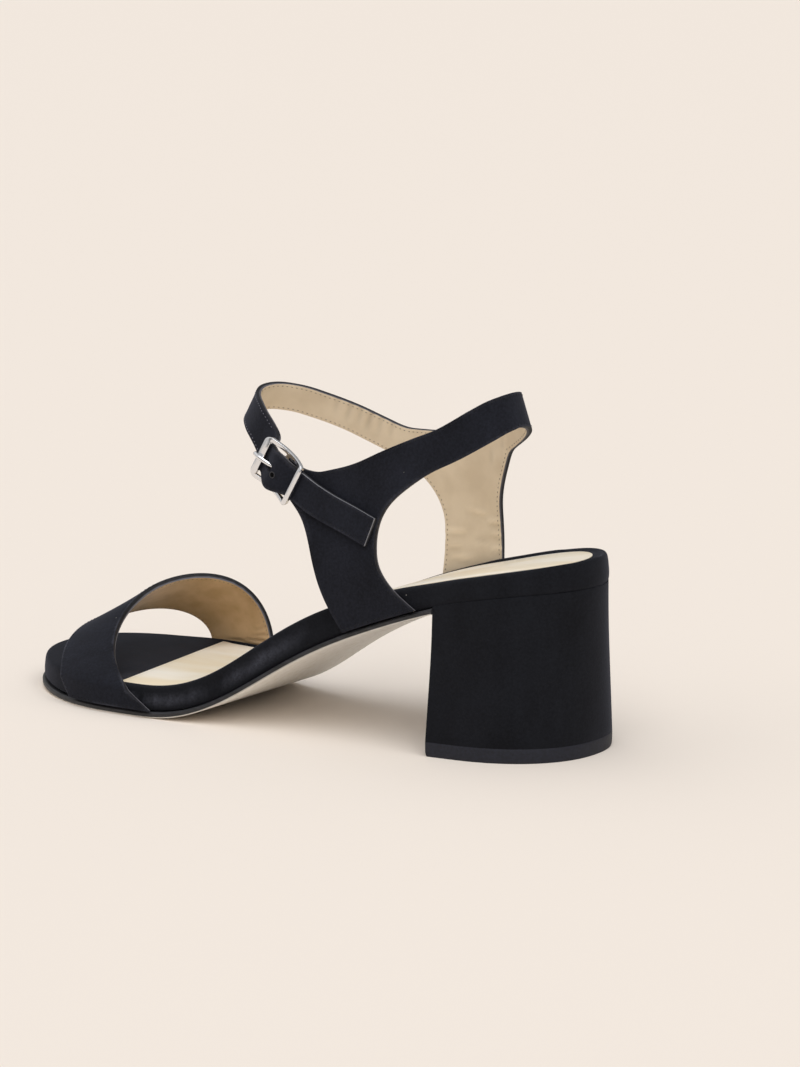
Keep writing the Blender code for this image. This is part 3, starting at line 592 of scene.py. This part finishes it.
def outlines(bm, kind):
    # runs of points where a broad face of this kind meets the cut edge, and whether each closes
    ways = {}
    for edge in bm.edges:
        kinds = [face.material_index for face in edge.link_faces]
        if len(kinds) == 2 and kind in kinds and max(kinds) >= cutEdge:
            for vert in edge.verts:
                ways.setdefault(vert, []).append(edge.other_vert(vert))
    runs = []
    left = dict.fromkeys(sorted(ways, key=lambda vert: vert.index))
    while left:
        run = [next(iter(left))]
        del left[run[0]]
        for _ in range(2):   # an open run grows from both of its ends
            while True:
                following = [vert for vert in ways[run[-1]] if vert in left]
                if not following:
                    break
                run.append(following[0])
                del left[following[0]]
            run.reverse()
        if len(run) > strapLook["shortRun"]:
            runs.append((np.array([vert.co for vert in run]), run[0] in ways[run[-1]]))
    return runs


def resample(points, closed, pitch):
    line = np.vstack([points, points[:1]]) if closed else points
    steps = np.linalg.norm(np.diff(line, axis=0), axis=1)
    along = np.concatenate([[0], np.cumsum(steps)])
    at = np.arange(0, along[-1], pitch)
    return np.stack([np.interp(at, along, line[:, k]) for k in range(3)], 1)


def weighEdges(mesh, runs, look):
    # weights beside the outlines: rubbed nap with painted highlight, frayed suede and the lining's raw edge
    for label, kind, full in (("rim", broadSuede, look["rimWear"]), ("fray", broadSuede, 1.0),
                              ("hem", broadLining, look["hemShow"])):
        samples = np.vstack([resample(*run, strapLook["sampleMm"] * mm) for run in runs[kind]])
        near = KDTree(len(samples))
        for k, point in enumerate(samples):
            near.insert(point, k)
        near.balance()
        away = np.array([near.find(vert.co)[2] for vert in mesh.vertices]) / mm
        keepWeight(mesh, label, np.interp(away, strapLook[label + "Mm"], [full, 0.0]))


# stitches: short bodies of thread beside the outlines, each given as rings of place, girth and lift

stitchLook = {"pitchMm": 1.7, "longMm": 0.75, "threadMm": 0.26, "insetMm": 0.9, "looseMm": 0.4, "sides": 6,
              "trackSteps": 4, "settleRounds": 3, "ankleAheadMm": -5}
stitchBody = ((-1.0, 0.35, -0.8), (-0.62, 0.9, 0.15), (0.0, 1.0, 0.4), (0.62, 0.9, 0.15), (1.0, 0.35, -0.8))


def addStitch(points, faces, middle, along, up):
    half = stitchLook["longMm"] * mm / 2
    radius = stitchLook["threadMm"] * mm / 2
    sides = stitchLook["sides"]
    across = along.cross(up)
    base = len(points)
    for shift, girth, lift in stitchBody:
        centre = middle + along * half * shift + up * (radius * lift)
        for turn in range(sides):
            angle = math.tau * turn / sides
            points.append(centre + (across * math.cos(angle) + up * math.sin(angle)) * radius * girth)
    for ring in range(len(stitchBody) - 1):
        for turn in range(sides):
            a = base + ring * sides + turn
            b = base + ring * sides + (turn + 1) % sides
            faces.append((a, b, b + sides, a + sides))
    last = base + (len(stitchBody) - 1) * sides
    faces.append(tuple(base + turn for turn in reversed(range(sides))))
    faces.append(tuple(last + turn for turn in range(sides)))


def stitchPlaces(run, surface):
    # spots beside an outline on the broad face, with the way along and the way up
    inset = stitchLook["insetMm"] * mm
    steps = stitchLook["trackSteps"]
    track = resample(*run, stitchLook["pitchMm"] * mm / steps)
    ahead = np.gradient(track, axis=0)
    for k in range(0, len(track), steps):
        here = Vector(track[k])
        along = Vector(ahead[k]).normalized()
        up = surface.find_nearest(here)[1]
        for _ in range(stitchLook["settleRounds"]):   # off the rounded rim, onto the broad face
            sideways = along.cross(up).normalized()
            spots = [surface.find_nearest(here + way * inset) for way in (sideways, -sideways)]
            middle, up, _, away = min(spots, key=lambda spot: spot[3])
        if away < stitchLook["looseMm"] * mm:
            yield middle, (along - up * along.dot(up)).normalized(), up


def sewStrap(name, mesh, runs, greyAhead):
    stitches = {thread: ([], []) for thread in (quarterThread, ankleThread, liningThread)}
    for kind, outlinesOfKind in runs.items():
        surface = meshSurface(mesh, kind)
        for run in outlinesOfKind:
            for middle, along, up in stitchPlaces(run, surface):
                thread = liningThread
                if kind == broadSuede:
                    ahead = greyAhead and middle.x < stitchLook["ankleAheadMm"] * mm
                    thread = ankleThread if ahead else quarterThread
                addStitch(*stitches[thread], middle, along, up)
    for thread, (points, faces) in stitches.items():
        if points:
            label = name + "Stitches" + thread.name.replace("ThreadWaxed", "").capitalize()
            meshPiece(label, points, faces, thread)
            print(label, len(points) // (stitchLook["sides"] * len(stitchBody)))


# main creases of the linings, given in shoe millimetres: middle, way, half length, half width
# and depth, where a depth below zero is a ridge

creaseFullMm = 0.6   # depth at which the tint is full
ankleCreases = (
    ((-4.5, 16.4, 104.5), (0.3, 0.0, 1.0), 4.0, 1.3, 0.28),
    ((-0.5, 18.6, 103.0), (0.4, 0.0, 1.0), 5.0, 1.2, 0.44),
    ((3.2, 19.8, 101.5), (0.3, 0.0, 1.0), 4.0, 1.1, 0.38),
    ((6.5, 20.6, 100.0), (0.45, 0.0, 1.0), 5.0, 1.3, 0.5),
    ((10.4, 21.2, 98.5), (0.35, 0.0, 1.0), 4.5, 1.2, 0.4),
    ((14.6, 22.0, 97.0), (0.3, 0.0, 1.0), 4.0, 1.3, 0.32),
    ((57.0, 20.6, 93.0), (0.15, 0.0, 1.0), 4.0, 1.3, 0.32),
    ((62.5, 18.4, 97.5), (0.2, 0.0, 1.0), 4.0, 1.2, 0.28),
    ((40.0, 24.3, 64.7), (1.0, 0.05, 0.06), 5.0, 1.2, -0.5),
    ((39.5, 24.0, 59.8), (1.0, 0.05, 0.0), 4.0, 1.2, -0.36),
    ((43.0, 24.0, 55.9), (1.0, 0.05, 0.04), 6.0, 1.2, -0.46),
    ((49.0, 24.2, 72.3), (1.0, -0.08, -0.1), 5.0, 1.2, -0.34),
    ((56.2, 24.1, 69.8), (1.0, -0.1, 0.12), 4.0, 1.2, -0.5),
    ((57.2, 24.5, 65.4), (1.0, -0.05, 0.12), 3.0, 1.1, -0.42),
    ((57.4, 24.7, 60.4), (1.0, 0.0, 0.16), 3.5, 1.1, -0.46),
    ((51.0, 24.5, 62.6), (1.0, 0.03, 0.1), 4.0, 1.2, 0.26),
)
toeCreases = (
    ((-57.0, 39.1, 9.6), (1.0, -0.2, 0.0), 7.0, 1.0, 0.5),
    ((-55.5, 38.7, 11.8), (1.0, -0.22, 0.12), 6.5, 1.0, 0.5),
    ((-54.0, 38.2, 14.0), (1.0, -0.24, 0.26), 6.0, 1.1, 0.46),
    ((-53.0, 37.5, 16.6), (1.0, -0.26, 0.42), 5.0, 1.1, 0.4),
    ((-66.0, 39.7, 10.4), (1.0, 0.0, 0.05), 5.0, 1.0, 0.4),
)


def pressCreases(mesh, creases):
    # soft troughs in the lining with a low ridge on both sides, and ridges with a low trough
    count = len(mesh.vertices)
    points, normals = np.empty(count * 3), np.empty(count * 3)
    mesh.vertices.foreach_get("co", points)
    mesh.vertices.foreach_get("normal", normals)
    points, normals = points.reshape(-1, 3), normals.reshape(-1, 3)
    inner = np.zeros(count, bool)
    for polygon in mesh.polygons:
        if polygon.material_index == broadLining:
            inner[list(polygon.vertices)] = True
    move = np.zeros(count)
    for middle, way, halfLong, halfWide, deep in creases:
        way = np.array(way) / np.linalg.norm(way)
        off = points / mm - np.array(middle)
        along = off @ way
        beside = np.linalg.norm(off - along[:, None] * way, axis=1) / halfWide
        fade = np.clip(1 - (along / halfLong) ** 2, 0, 1)
        move += deep * fade * (1 - beside ** 2) * np.exp(-beside ** 2)
    move *= inner
    points -= normals * (move * mm)[:, None]
    # the depth is kept to paint shade in the troughs and a highlight on the ridges
    keepWeight(mesh, "crease", move / creaseFullMm)
    mesh.vertices.foreach_set("co", points.ravel())
    mesh.update()


quarterLook = {"lining": ankleLining, "creases": ankleCreases, "rimWear": 0.4, "hemShow": 0.85, "rounds": 2}
toeLook = {"lining": toeLiningShaded, "creases": toeCreases, "rimWear": 0.8, "hemShow": 1.0, "rounds": 3,
           "axisBehindMm": 20}


def makeStrap(name, nodeName, axisPoint, upright, look):
    # the lining faces an upright axis through the ankle, or a point on the floor under the toes
    bm = weldedCopy(nodeName)
    sortFaces(bm, axisPoint, upright)
    markPaleEdge(bm)
    runs = {kind: outlines(bm, kind) for kind in (broadSuede, broadLining)}
    strap = finishPiece(name, bm, [suedeStrapLit, look["lining"], darkSeal, paleSeal], nodeName,
                        sharp=strapLook["sharp"], rounds=look["rounds"],
                        edgeRoundMm=strapLook["edgeRoundMm"])
    pressCreases(strap.data, look["creases"])
    weighEdges(strap.data, runs, look)
    sewStrap(name, strap.data, runs, greyAhead=upright)
    return strap


ankleLow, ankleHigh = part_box("quarter_and_ankle_strap")
toeLow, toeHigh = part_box("toe_strap")
ankleMiddle = (ankleLow + ankleHigh) / 2
toeMiddle = Vector(((toeLow.x + toeHigh.x) / 2 + toeLook["axisBehindMm"] * mm,
                    (toeLow.y + toeHigh.y) / 2, 0.0))
quarter = makeStrap("suedeQuarter", "quarter_and_ankle_strap", ankleMiddle, True, quarterLook)
makeStrap("suedeToeStrap", "toe_strap", toeMiddle, False, toeLook)
print("straps lined, sealed and stitched")


# spare hole of the ankle strap: a punched ring, with a near-black disc inside as painted shade

holeLook = {"atMm": (3.5, 88.5), "fromMm": -100, "ringMm": 1.0, "rimMm": 0.2, "rimFlat": 0.6,
            "floorMm": 0.85, "liftMm": 0.06, "dish": 0.4, "turns": 24, "sides": 8}


def makeHole():
    x, z = holeLook["atMm"]
    outside = Vector((x * mm, holeLook["fromMm"] * mm, z * mm))
    middle, up = meshSurface(quarter.data).ray_cast(outside, Vector((0, 1, 0)))[:2]
    right = up.cross(Vector((0, 0, 1))).normalized()
    top = right.cross(up)
    turns, sides = holeLook["turns"], holeLook["sides"]
    angles = [math.tau * turn / turns for turn in range(turns)]
    spokes = [right * math.cos(angle) + top * math.sin(angle) for angle in angles]
    points, faces = [], []
    for turn, out in enumerate(spokes):
        for side in range(sides):
            roll = math.tau * side / sides
            reach = holeLook["ringMm"] + holeLook["rimMm"] * math.cos(roll)
            rise = holeLook["rimMm"] * holeLook["rimFlat"] * math.sin(roll)
            points.append(middle + out * reach * mm + up * rise * mm)
            after, beside = (turn + 1) % turns * sides, (side + 1) % sides
            faces.append((turn * sides + side, after + side, after + beside, turn * sides + beside))
    meshPiece("punchedHoleRing", points, faces, holeRim)
    # a near-black disc down in the hole: painted shade where the hole shows only shadow
    lift = up * holeLook["liftMm"] * mm
    points, faces = [middle + lift * holeLook["dish"], middle - lift], []
    for turn, out in enumerate(spokes):
        points.append(middle + (out * holeLook["floorMm"] + up * holeLook["liftMm"]) * mm)
        here, after = turn + 2, (turn + 1) % turns + 2
        faces += [(0, here, after), (1, after, here)]
    meshPiece("punchedHoleShadeDisc", points, faces, holePaintedShade)


makeHole()
print("punched hole set in the strap")


# buckle: a cast frame with flat bars, its middle bar, and the prong

buckleLook = {"frontWideMm": 2.9, "rearWideMm": 2.0, "railWideMm": 1.5, "thickMm": 1.4, "cornerMm": 1.2,
              "middleMm": 1.8, "square": 0.3, "sides": 20, "cornerSteps": 9, "railSteps": 9,
              "railReach": 0.85, "endShare": 0.8, "waistShare": 0.15, "barRings": 5, "barSides": 12,
              "sharp": 40, "prongSwellMm": 0.3, "prongSharp": 70}


def barSection(wideMm):
    # flat bar with small rounds: a squared oval
    section = []
    for turn in np.linspace(0, math.tau, buckleLook["sides"], endpoint=False):
        c, s = math.cos(turn), math.sin(turn)
        section.append((math.copysign(abs(c) ** buckleLook["square"], c) * wideMm * mm / 2,
                        math.copysign(abs(s) ** buckleLook["square"], s) * buckleLook["thickMm"] * mm / 2))
    return np.array(section)


def frameRun(halfLong, halfWide):
    # once round the frame: place along, place across, and 1 on a rail or 0 on an end bar
    corner = buckleLook["cornerMm"] * mm
    railPlaces = np.linspace(buckleLook["railReach"], -buckleLook["railReach"], buckleLook["railSteps"])
    endPlaces = (0.5, 0.0, -0.5)
    run = []
    for sx, sy, start in ((1, 1, 0), (-1, 1, 90), (-1, -1, 180), (1, -1, 270)):
        for turn in np.radians(np.linspace(start, start + 90, buckleLook["cornerSteps"])):
            run.append((sx * (halfLong - corner) + corner * math.cos(turn),
                        sy * (halfWide - corner) + corner * math.sin(turn), abs(math.sin(turn))))
        if sx == sy:
            run += [(s * sx * (halfLong - corner), sy * halfWide, 1.0) for s in railPlaces]
        else:
            run += [(sx * halfLong, s * sy * (halfWide - corner), 0.0) for s in endPlaces]
    return np.array(run)


def makeFrame():
    cloud = np.array([v.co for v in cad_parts["buckle_frame"].data.vertices])
    centred = cloud - cloud.mean(0)
    spread = np.linalg.eigh(centred.T @ centred)[1]
    along, across, out = spread[:, 2], spread[:, 1], spread[:, 0]
    out = out * -np.sign(out[1])   # outwards is away from the foot
    local = centred @ np.stack([along, across, out], 1)
    reach = (local.max(0) - local.min(0)) / 2
    middle = cloud.mean(0) + np.stack([along, across], 1) @ ((local.max(0) + local.min(0)) / 2)[:2]
    halfLong = reach[0] - buckleLook["rearWideMm"] * mm / 2
    halfWide = reach[1] - buckleLook["railWideMm"] * mm / 2
    ends = np.abs(local[:, 0]) > buckleLook["endShare"] * halfLong
    waist = np.abs(local[:, 0]) < buckleLook["waistShare"] * halfLong
    high, low = (local[k, 2].max() - buckleLook["thickMm"] * mm / 2 for k in (ends, waist))
    run = frameRun(halfLong, halfWide)
    lift = low + (high - low) * (run[:, 0] / halfLong) ** 2   # the frame is bowed round the ankle
    line = middle + run[:, :1] * along + run[:, 1:2] * across + lift[:, None] * out
    front, rear, rail = (barSection(buckleLook[key + "WideMm"]) for key in ("front", "rear", "rail"))
    points, faces = [], []
    count, sides = len(line), buckleLook["sides"]
    for k in range(count):
        way = line[(k + 1) % count] - line[k - 1]
        way /= np.linalg.norm(way)
        side = np.cross(out, way)
        side /= np.linalg.norm(side)
        up = np.cross(way, side)
        end = front if run[k, 0] * along[0] < 0 else rear   # toe is towards -X
        section = end * (1 - run[k, 2]) + rail * run[k, 2]
        points += [line[k] + side * a + up * b for a, b in section]
        after = (k + 1) % count * sides
        for j in range(sides):
            beside = (j + 1) % sides
            faces.append((k * sides + j, k * sides + beside, after + beside, after + j))
    addMiddleBar(points, faces, middle + out * low, across * halfWide, along, out)
    meshPiece("nickelBuckleFrame", points, faces, nickel, "buckle_frame",
              sharp=buckleLook["sharp"])


def addMiddleBar(points, faces, middle, halfBar, along, out):
    first, rings, sides = len(points), buckleLook["barRings"], buckleLook["barSides"]
    for step in np.linspace(-1, 1, rings):
        points += [middle + halfBar * step
                   + (along * math.cos(t) + out * math.sin(t)) * buckleLook["middleMm"] * mm / 2
                   for t in np.linspace(0, math.tau, sides, endpoint=False)]
    for ring in range(rings - 1):
        for j in range(sides):
            a, b = (first + ring * sides + k % sides for k in (j, j + 1))
            faces.append((a, b, b + sides, a + sides))
    faces.append(tuple(reversed(range(first, first + sides))))
    faces.append(tuple(range(len(points) - sides, len(points))))


def makeProng():
    bm = weldedCopy("buckle_prong")
    for vert in bm.verts:
        vert.co += vert.normal * buckleLook["prongSwellMm"] * mm
    finishPiece("nickelBuckleProng", bm, [nickel], "buckle_prong",
                sharp=buckleLook["prongSharp"], edgeRoundMm=0.0)


makeFrame()
makeProng()
print("buckle made")


# floor, light and camera

studio = {"floor": "#f1e7dd", "floorM": 40, "toothMm": 1.5, "toothReliefMm": 0.05,
          "horizon": "#b4b0ac", "zenith": "#ffffff", "zenithAt": 0.8, "skyPower": 0.46,
          "lamps": (("keySoftbox", 1.95, 60, (0.42, -0.38, 0.82)),
                    ("fillSoftbox", 0.55, 90, (-0.75, -0.25, 0.6)))}


def makeFloor():
    # seamless paper: pale, no shine, faint tooth
    made, tree, shader, where = newMaterial("paperFloorMatte", {
        "Roughness": 0.9, "Specular IOR Level": 0.1, "Base Color": linear(studio["floor"])})
    tooth = addNode(tree, "TexNoise", {"Scale": perSize(studio["toothMm"]), "Detail": 2.0},
                    {"Vector": where})
    bump = addNode(tree, "Bump", {"Strength": 0.05, "Distance": studio["toothReliefMm"] * mm},
                   {"Height": tooth.outputs[0]})
    tree.links.new(bump.outputs[0], shader.inputs["Normal"])
    bpy.ops.mesh.primitive_plane_add(size=studio["floorM"])
    floor = bpy.context.object
    floor.name = "paperFloor"
    floor.data.materials.append(made)


def makeLight():
    world = bpy.data.worlds.new("softStudio")
    world.use_nodes = True
    bpy.context.scene.world = world
    tree = world.node_tree
    way = addNode(tree, "TexCoord").outputs["Generated"]
    height = addNode(tree, "SeparateXYZ", links={"Vector": way})
    sky = addNode(tree, "ValToRGB", links={"Fac": height.outputs["Z"]})
    paintRamp(sky, ((0.0, studio["horizon"]), (studio["zenithAt"], studio["zenith"])))
    back = tree.nodes["Background"]
    back.inputs["Strength"].default_value = studio["skyPower"]
    tree.links.new(sky.outputs[0], back.inputs["Color"])
    for name, power, spread, lightFrom in studio["lamps"]:
        sun = bpy.data.lights.new(name, "SUN")
        sun.energy = power
        sun.angle = math.radians(spread)
        lamp = bpy.data.objects.new(name, sun)
        lamp.rotation_euler = Vector(lightFrom).to_track_quat("Z", "Y").to_euler()
        bpy.context.collection.objects.link(lamp)
    bpy.context.scene.view_settings.view_transform = "Standard"


view = {"targetMm": (23.22, 15.2, 63.35), "azimuth": 35, "elevation": 11, "distanceMm": 1485.2,
        "lensMm": 146.77, "sensorMm": 36}


def makeCamera():
    turn, rise = math.radians(view["azimuth"]), math.radians(view["elevation"])
    back = Vector((math.sin(turn) * math.cos(rise), -math.cos(turn) * math.cos(rise), math.sin(rise)))
    lens = bpy.data.cameras.new("photoCamera")
    lens.lens = view["lensMm"]
    lens.sensor_width = view["sensorMm"]
    camera = bpy.data.objects.new("photoCamera", lens)
    camera.location = (Vector(view["targetMm"]) + back * view["distanceMm"]) * mm
    camera.rotation_euler = back.to_track_quat("Z", "Y").to_euler()
    bpy.context.collection.objects.link(camera)
    bpy.context.scene.camera = camera


makeFloor()
makeLight()
makeCamera()
print("studio and camera set")
